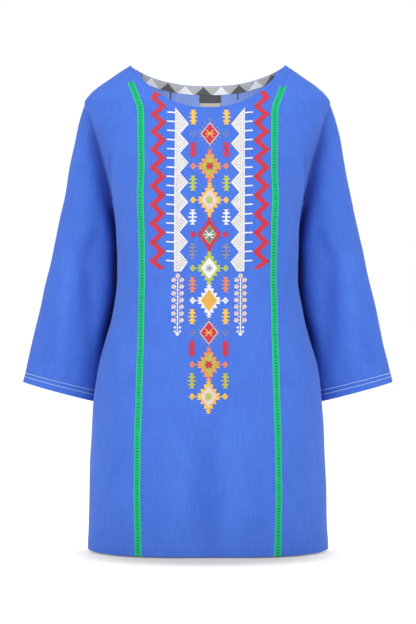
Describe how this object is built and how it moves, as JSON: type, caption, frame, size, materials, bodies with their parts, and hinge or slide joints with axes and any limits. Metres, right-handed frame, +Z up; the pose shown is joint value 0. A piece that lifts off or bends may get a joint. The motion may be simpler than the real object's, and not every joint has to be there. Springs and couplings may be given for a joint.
{
  "type": "tunic blouse",
  "caption": "Hollow, worn-form cotton tunic with a wide boat neck, three-quarter sleeves, ribbons down the front panel seams and a flared straight hem.",
  "frame": {"origin": "midway between the two points where the neck edge crosses the shoulder line, which is where the wearer's shoulders carry the garment", "axes": "+X towards the wearer's left, +Y from the front of the garment to its back, +Z up along the body"},
  "size_m": [0.622, 0.273, 0.8041],
  "materials": {
    "blue_cotton": "matte plain-woven cotton",
    "green_ribbon": "ribbed woven ribbon",
    "grey_tape": "woven tape",
    "label_cloth": "woven label, plain"
  },
  "bodies": {
    "root": {"front_centre": "blue_cotton", "back": "blue_cotton", "front_side_left": "blue_cotton", "front_side_right": "blue_cotton", "sleeve_left_front": "blue_cotton", "sleeve_left_back": "blue_cotton", "sleeve_right_front": "blue_cotton", "sleeve_right_back": "blue_cotton", "ribbon_left": "green_ribbon", "ribbon_right": "green_ribbon", "neck_tape": "grey_tape", "label": "label_cloth"}
  },
  "joints": []
}
